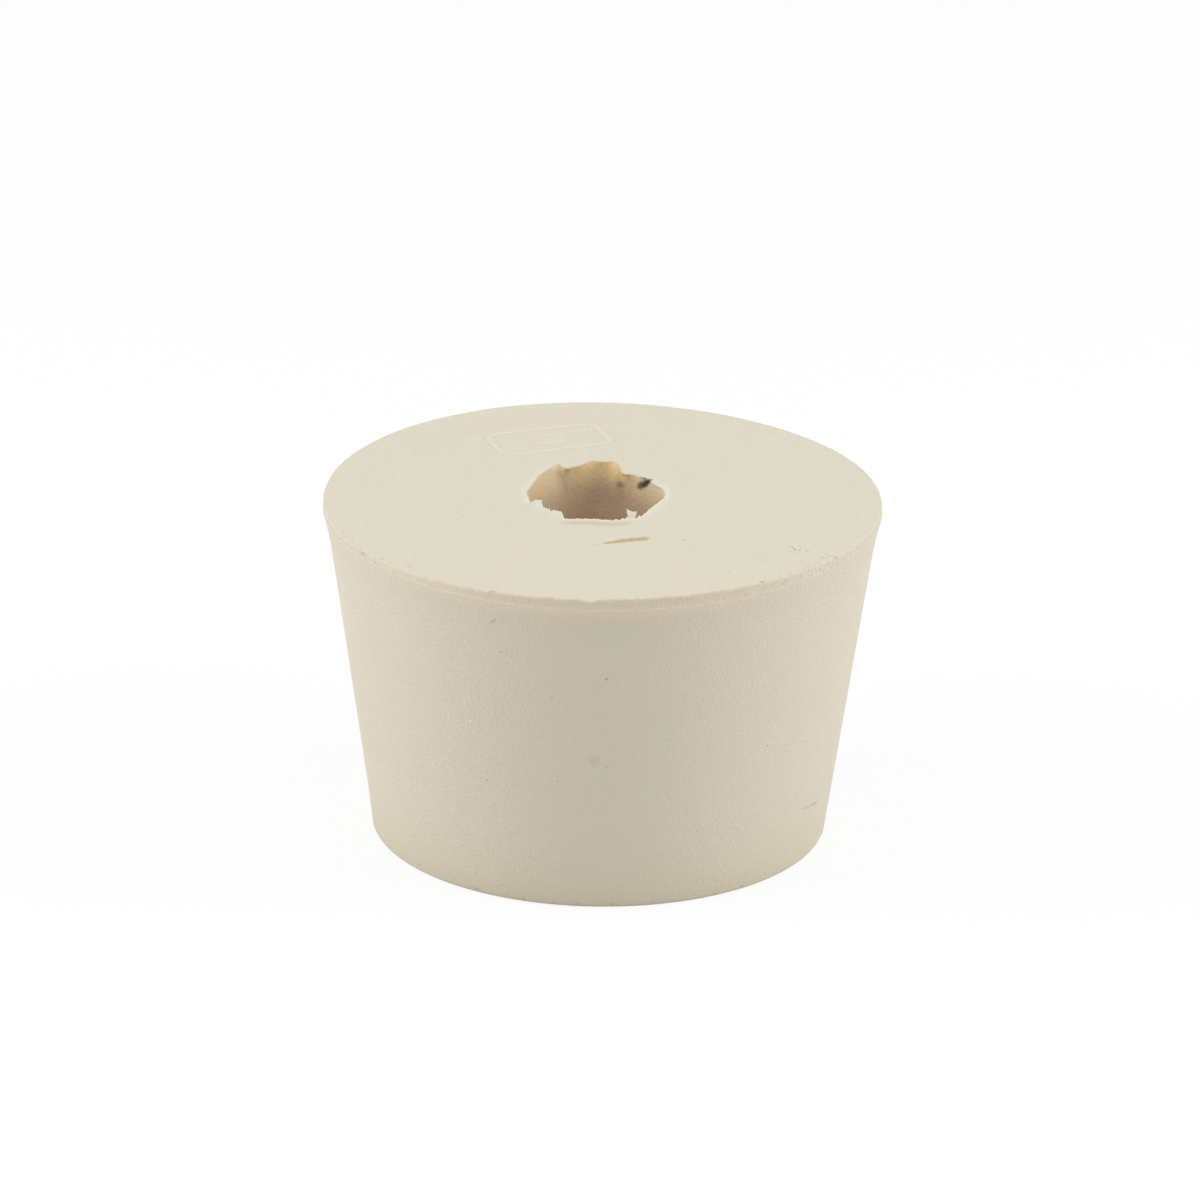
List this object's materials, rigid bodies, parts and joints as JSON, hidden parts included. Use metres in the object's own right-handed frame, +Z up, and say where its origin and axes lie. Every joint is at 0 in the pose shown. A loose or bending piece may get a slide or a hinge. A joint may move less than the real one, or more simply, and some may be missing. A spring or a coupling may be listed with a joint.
{
  "type": "rubber stopper",
  "caption": "Tapered rubber stopper that closes a bottle or flask neck, with a bore right through for tubing, a trimmed rim and a torn, ragged bore mouth in the large end.",
  "frame": {"origin": "middle of the small end, on the face that the stopper stands on", "axes": "+Z up along the cone's axis from the small end to the large end, -Y towards the viewer of the nicked side of the large face, +X to that viewer's right"},
  "size_m": [0.0408, 0.0408, 0.0255],
  "materials": {
    "rubber": "matte cream gum rubber"
  },
  "bodies": {
    "root": {"stopper": "rubber"}
  },
  "joints": []
}
